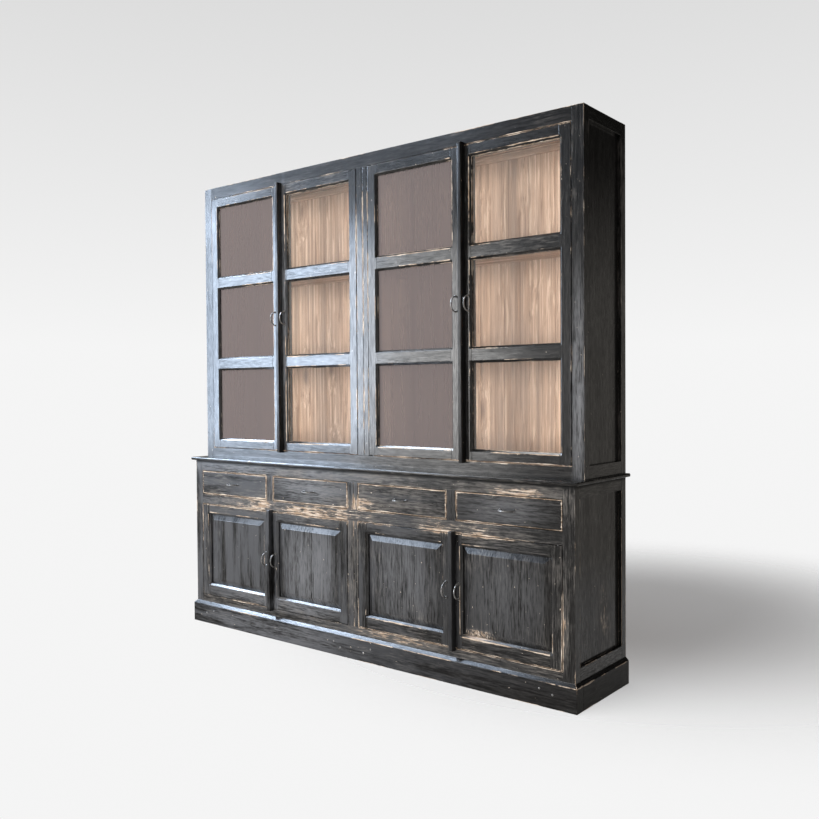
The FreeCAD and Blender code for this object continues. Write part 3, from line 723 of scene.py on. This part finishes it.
# Ironwork
def inputs(tree, **kinds):
    """Gives a geometry tree named inputs and hands back their wires."""
    words = [word.replace("_", " ") for word in kinds]
    for word, kind in zip(words, kinds.values()):
        tree.tree.interface.new_socket(word, in_out="INPUT", socket_type=kind)
    return [tree.node("NodeGroupInput", output=word) for word in words]


def finish_shape(tree, shape, material):
    """Ends a geometry tree: real smooth faces in one material."""
    real = tree.node("GeometryNodeRealizeInstances", None, {0: shape})
    smooth = tree.node("GeometryNodeSetShadeSmooth", None, {"Geometry": real})
    coated = tree.node("GeometryNodeSetMaterial", None, {"Geometry": smooth, "Material": material})
    tree.tree.interface.new_socket("Geometry", in_out="OUTPUT", socket_type="NodeSocketGeometry")
    tree.node("NodeGroupOutput", None, {0: coated})


def grown(label, tree, start, **values):
    """The mesh that a geometry tree makes from a starting mesh and these inputs."""
    seed = bpy.data.objects.new(label, start)
    bpy.context.scene.collection.objects.link(seed)
    maker = seed.modifiers.new(label, "NODES")
    maker.node_group = tree.tree
    for socket in tree.tree.interface.items_tree:
        word = socket.name.replace(" ", "_")
        if word in values:
            maker[socket.identifier] = values[word]
    ready = seed.evaluated_get(bpy.context.evaluated_depsgraph_get())
    mesh = bpy.data.meshes.new_from_object(ready)
    mesh.name = label
    bpy.data.objects.remove(seed)
    return mesh


NUMBER, VECTOR, SHAPE = "NodeSocketFloat", "NodeSocketVector", "NodeSocketGeometry"


def bow_pull():
    """A bent iron rod between two small collars, lying level and bulging to -Y, then turned and placed."""
    tree = Tree(bpy.data.node_groups.new("bow_pull", "GeometryNodeTree"))
    bow, rod, collar, lip, turn, place = inputs(
        tree, Bow_Radius=NUMBER, Rod_Radius=NUMBER, Collar_Radius=NUMBER, Collar_Lip=NUMBER,
        Turn=VECTOR, Place=VECTOR,
    )
    arc = tree.node(
        "GeometryNodeCurveArc", {"mode": "RADIUS"},
        {"Resolution": 33, "Radius": bow, "Start Angle": math.pi, "Sweep Angle": math.pi},
    )
    section = tree.node(
        "GeometryNodeCurvePrimitiveCircle", {"mode": "RADIUS"}, {"Resolution": 14, "Radius": rod},
    )
    bent = tree.node(
        "GeometryNodeCurveToMesh", None, {"Curve": arc, "Profile Curve": section, "Fill Caps": True},
    )
    ends = tree.node(
        "GeometryNodeMeshLine", {"mode": "OFFSET"},
        {"Count": 2, "Start Location": tree.vector(bow * -1.0, lip * -0.5, 0.0),
         "Offset": tree.vector(bow * 2.0, 0.0, 0.0)},
    )
    ring = tree.node("GeometryNodeMeshCylinder", None, {"Vertices": 20, "Radius": collar, "Depth": lip})
    collars = tree.node(
        "GeometryNodeInstanceOnPoints", None,
        {"Points": ends, "Instance": ring, "Rotation": (math.pi / 2, 0, 0)},
    )
    both = tree.node("GeometryNodeJoinGeometry", None, {0: [bent, collars]})
    hung = tree.node(
        "GeometryNodeTransform", None, {"Geometry": both, "Rotation": turn, "Translation": place},
    )
    finish_shape(tree, hung, IRON)
    return tree


def nail_heads():
    """A flat domed head on every point."""
    tree = Tree(bpy.data.node_groups.new("nail_heads", "GeometryNodeTree"))
    points, radius = inputs(tree, Points=SHAPE, Head_Radius=NUMBER)
    dome = tree.node("GeometryNodeMeshUVSphere", None, {"Segments": 16, "Rings": 8, "Radius": radius})
    flat = tree.node("GeometryNodeTransform", None, {"Geometry": dome, "Scale": (1.0, 0.3, 1.0)})
    heads = tree.node("GeometryNodeInstanceOnPoints", None, {"Points": points, "Instance": flat})
    finish_shape(tree, heads, IRON)
    return tree


PULL = bow_pull()
ROD_RADIUS = 0.003
COLLAR_RADIUS, COLLAR_LIP = 0.0052, 0.0016
NAIL_RADIUS = 0.0042
for name in [name for name in frame["nodes"] if name.endswith("_pull")]:
    low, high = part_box(name)
    upright = high.z - low.z > high.x - low.x
    bow = max(high.z - low.z, high.x - low.x) / 2 - ROD_RADIUS
    middle = ((low.x + high.x) / 2, low.y + bow + ROD_RADIUS, (low.z + high.z) / 2)
    mesh = grown(
        f"{name}_bent", PULL, bpy.data.meshes.new("bend"), Bow_Radius=bow, Rod_Radius=ROD_RADIUS,
        Collar_Radius=COLLAR_RADIUS, Collar_Lip=COLLAR_LIP,
        Turn=(0, math.pi / 2 if upright else 0, 0), Place=middle,
    )
    standing_for(mesh, name)
frame["nodes"]["door_pins"].data.materials.clear()
frame["nodes"]["door_pins"].data.materials.append(IRON)

low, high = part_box("plinth_boards")
NAIL_DROPS = ((0.100, 0.052), (0.155, 0.066), (0.980, 0.060), (1.020, 0.038))
places = [(side * (high.x - inward), low.y, height) for inward, height in NAIL_DROPS for side in (-1, 1)]
start = bpy.data.meshes.new("nail_places")
start.from_pydata(places, [], [])
heads = grown("plinth_nails", nail_heads(), start, Head_Radius=NAIL_RADIUS)
nails = bpy.data.objects.new("plinth_nails", heads)
bpy.context.scene.collection.objects.link(nails)
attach(nails, frame["nodes"]["plinth_boards"]["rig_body"])


# Floor, backdrop and light
FLOOR_RADIUS = 4.4
FLOOR_PAINT = (0.84, 0.85, 0.87, 1)
FLOOR_MIDDLE = (0.55, 1.35, 0.0)
FLOOR_FADE = (2.3, 0.5)
COOL, NEUTRAL = (0.66, 0.80, 1.0), (1.0, 0.985, 0.965)


def pale_floor():
    """A wide round floor that fades out into the backdrop."""
    finish = Finish("pale_floor")
    away = finish.length(finish.vectors("SUBTRACT", finish.place(), FLOOR_MIDDLE))
    finish.set(Base_Color=FLOOR_PAINT, Roughness=0.9, Alpha=finish.band(away, *FLOOR_FADE))
    finish.set(Specular_IOR_Level=0.1)
    bm = bmesh.new()
    bmesh.ops.create_circle(bm, cap_ends=True, segments=96, radius=FLOOR_RADIUS)
    mesh = bpy.data.meshes.new("pale_floor")
    bm.to_mesh(mesh)
    bm.free()
    mesh.materials.append(finish.material)
    floor = bpy.data.objects.new("pale_floor", mesh)
    bpy.context.scene.collection.objects.link(floor)
    floor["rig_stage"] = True


def backdrop():
    """A pale grey backdrop to look at, and a dimmer even light from all round."""
    world = bpy.data.worlds.new("studio")
    world.use_nodes = True
    bpy.context.scene.world = world
    tree = Tree(world.node_tree)
    tree.tree.nodes.clear()
    direction = tree.node("ShaderNodeTexCoord", output="Generated")
    height = tree.node("ShaderNodeSeparateXYZ", None, {0: direction}, output=Z)
    rise = tree.node("ShaderNodeMapRange", None, {"Value": height, "From Min": 0.05, "From Max": 0.42})
    near, top = (0.91, 0.91, 0.91, 1), (0.71, 0.71, 0.71, 1)
    pale = tree.node("ShaderNodeMix", {"data_type": "RGBA"}, {0: rise, 6: near, 7: top}, output=2)
    seen = tree.node("ShaderNodeBackground", None, {"Color": pale, "Strength": 1.0})
    bounced = tree.node("ShaderNodeLightPath", output="Is Diffuse Ray")
    glow = tree.node("ShaderNodeMapRange", None, {"Value": height, "From Min": 0.24, "From Max": 0.10})
    warm, neutral = (1.0, 0.94, 0.86, 1), (*NEUTRAL, 1)
    tint = tree.node("ShaderNodeMix", {"data_type": "RGBA"}, {0: bounced, 6: warm, 7: neutral}, output=2)
    around = tree.node(
        "ShaderNodeBackground", None,
        {"Color": tint, "Strength": bounced * 0.40 + (1.0 - bounced) * (glow * 0.26 + 0.01)},
    )
    from_camera = tree.node("ShaderNodeLightPath", output="Is Camera Ray")
    mixed = tree.node("ShaderNodeMixShader", None, {0: from_camera, 1: around, 2: seen})
    tree.node("ShaderNodeOutputWorld", None, {"Surface": mixed})


def softbox(name, place, aim, size, power, tint, diffuse=True, glossy=True):
    """A flat lamp. Without diffuse it only shows mirrored in the lacquer, without glossy it never does."""
    light = bpy.data.lights.new(name, "AREA")
    light.shape = "RECTANGLE"
    light.size, light.size_y = size
    light.energy = power
    light.color = tint
    lamp = bpy.data.objects.new(name, light)
    lamp.visible_diffuse = diffuse
    lamp.visible_glossy = glossy
    toward = Vector(aim) - Vector(place)
    lamp.matrix_world = Matrix.Translation(place) @ toward.to_track_quat("-Z", "Y").to_matrix().to_4x4()
    bpy.context.scene.collection.objects.link(lamp)


def camera():
    """The camera that was fitted to the photograph."""
    lens = bpy.data.cameras.new("camera")
    lens.sensor_width = SENSOR
    lens.lens = FOCAL_PIXELS * SENSOR / PHOTO_WIDTH
    eye = bpy.data.objects.new("camera", lens)
    turn = Matrix.Rotation(math.radians(CAMERA_YAW), 4, "Z")
    tilt = Matrix.Rotation(math.radians(90 - CAMERA_PITCH), 4, "X")
    roll = Matrix.Rotation(math.radians(CAMERA_ROLL), 4, "Z")
    eye.matrix_world = Matrix.Translation(CAMERA_PLACE) @ turn @ tilt @ roll
    bpy.context.scene.collection.objects.link(eye)
    bpy.context.scene.camera = eye


pale_floor()
backdrop()
softbox("window_left", (-7.36, -6.53, 2.04), (0, 0, 2.04), (2.4, 3.5), 345, COOL, diffuse=False)
softbox("window_far", (-5.73, -8.00, 1.7), (0, 0, 1.7), (2.4, 3.3), 112, NEUTRAL, diffuse=False)
softbox("left_near", (-4.46, -1.11, 3.78), (-0.8, -0.2, 0.5), (1.8, 1.2), 45, COOL, diffuse=False)
softbox("overhead", (-3.13, -1.55, 3.67), (0, -0.2, 0.1), (1.6, 3.0), 85, COOL, diffuse=False)
softbox("counter_left", (-3.75, -0.5, 3.5), (-0.6, -0.2, 0.83), (1.3, 1.6), 235, COOL, diffuse=False)
softbox("counter_middle", (-2.5, -0.57, 3.78), (0.0, -0.2, 0.83), (1.0, 1.5), 64, COOL, diffuse=False)
softbox("counter_right", (-1.4, -0.6, 4.0), (0.7, -0.2, 0.83), (0.9, 1.5), 36, NEUTRAL, diffuse=False)
softbox("high_window", (-12.5, -13.0, 8.9), (0, 0, 0.6), (7.2, 2.4), 330, COOL, diffuse=False)
softbox("skylight", (-1.6, -2.2, 4.8), (-0.2, 0, 0.6), (4.0, 3.4), 55, NEUTRAL, glossy=False)
softbox("front_fill", (-2.0, -5.3, 1.5), (-0.2, 0, 1.3), (6.4, 3.2), 650, NEUTRAL, glossy=False)
camera()
bpy.context.scene.view_settings.view_transform = "Standard"

boxes = {"cad": cad_box, "visual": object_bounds()}
{name: [list(low), list(high)] for name, (low, high) in boxes.items()}
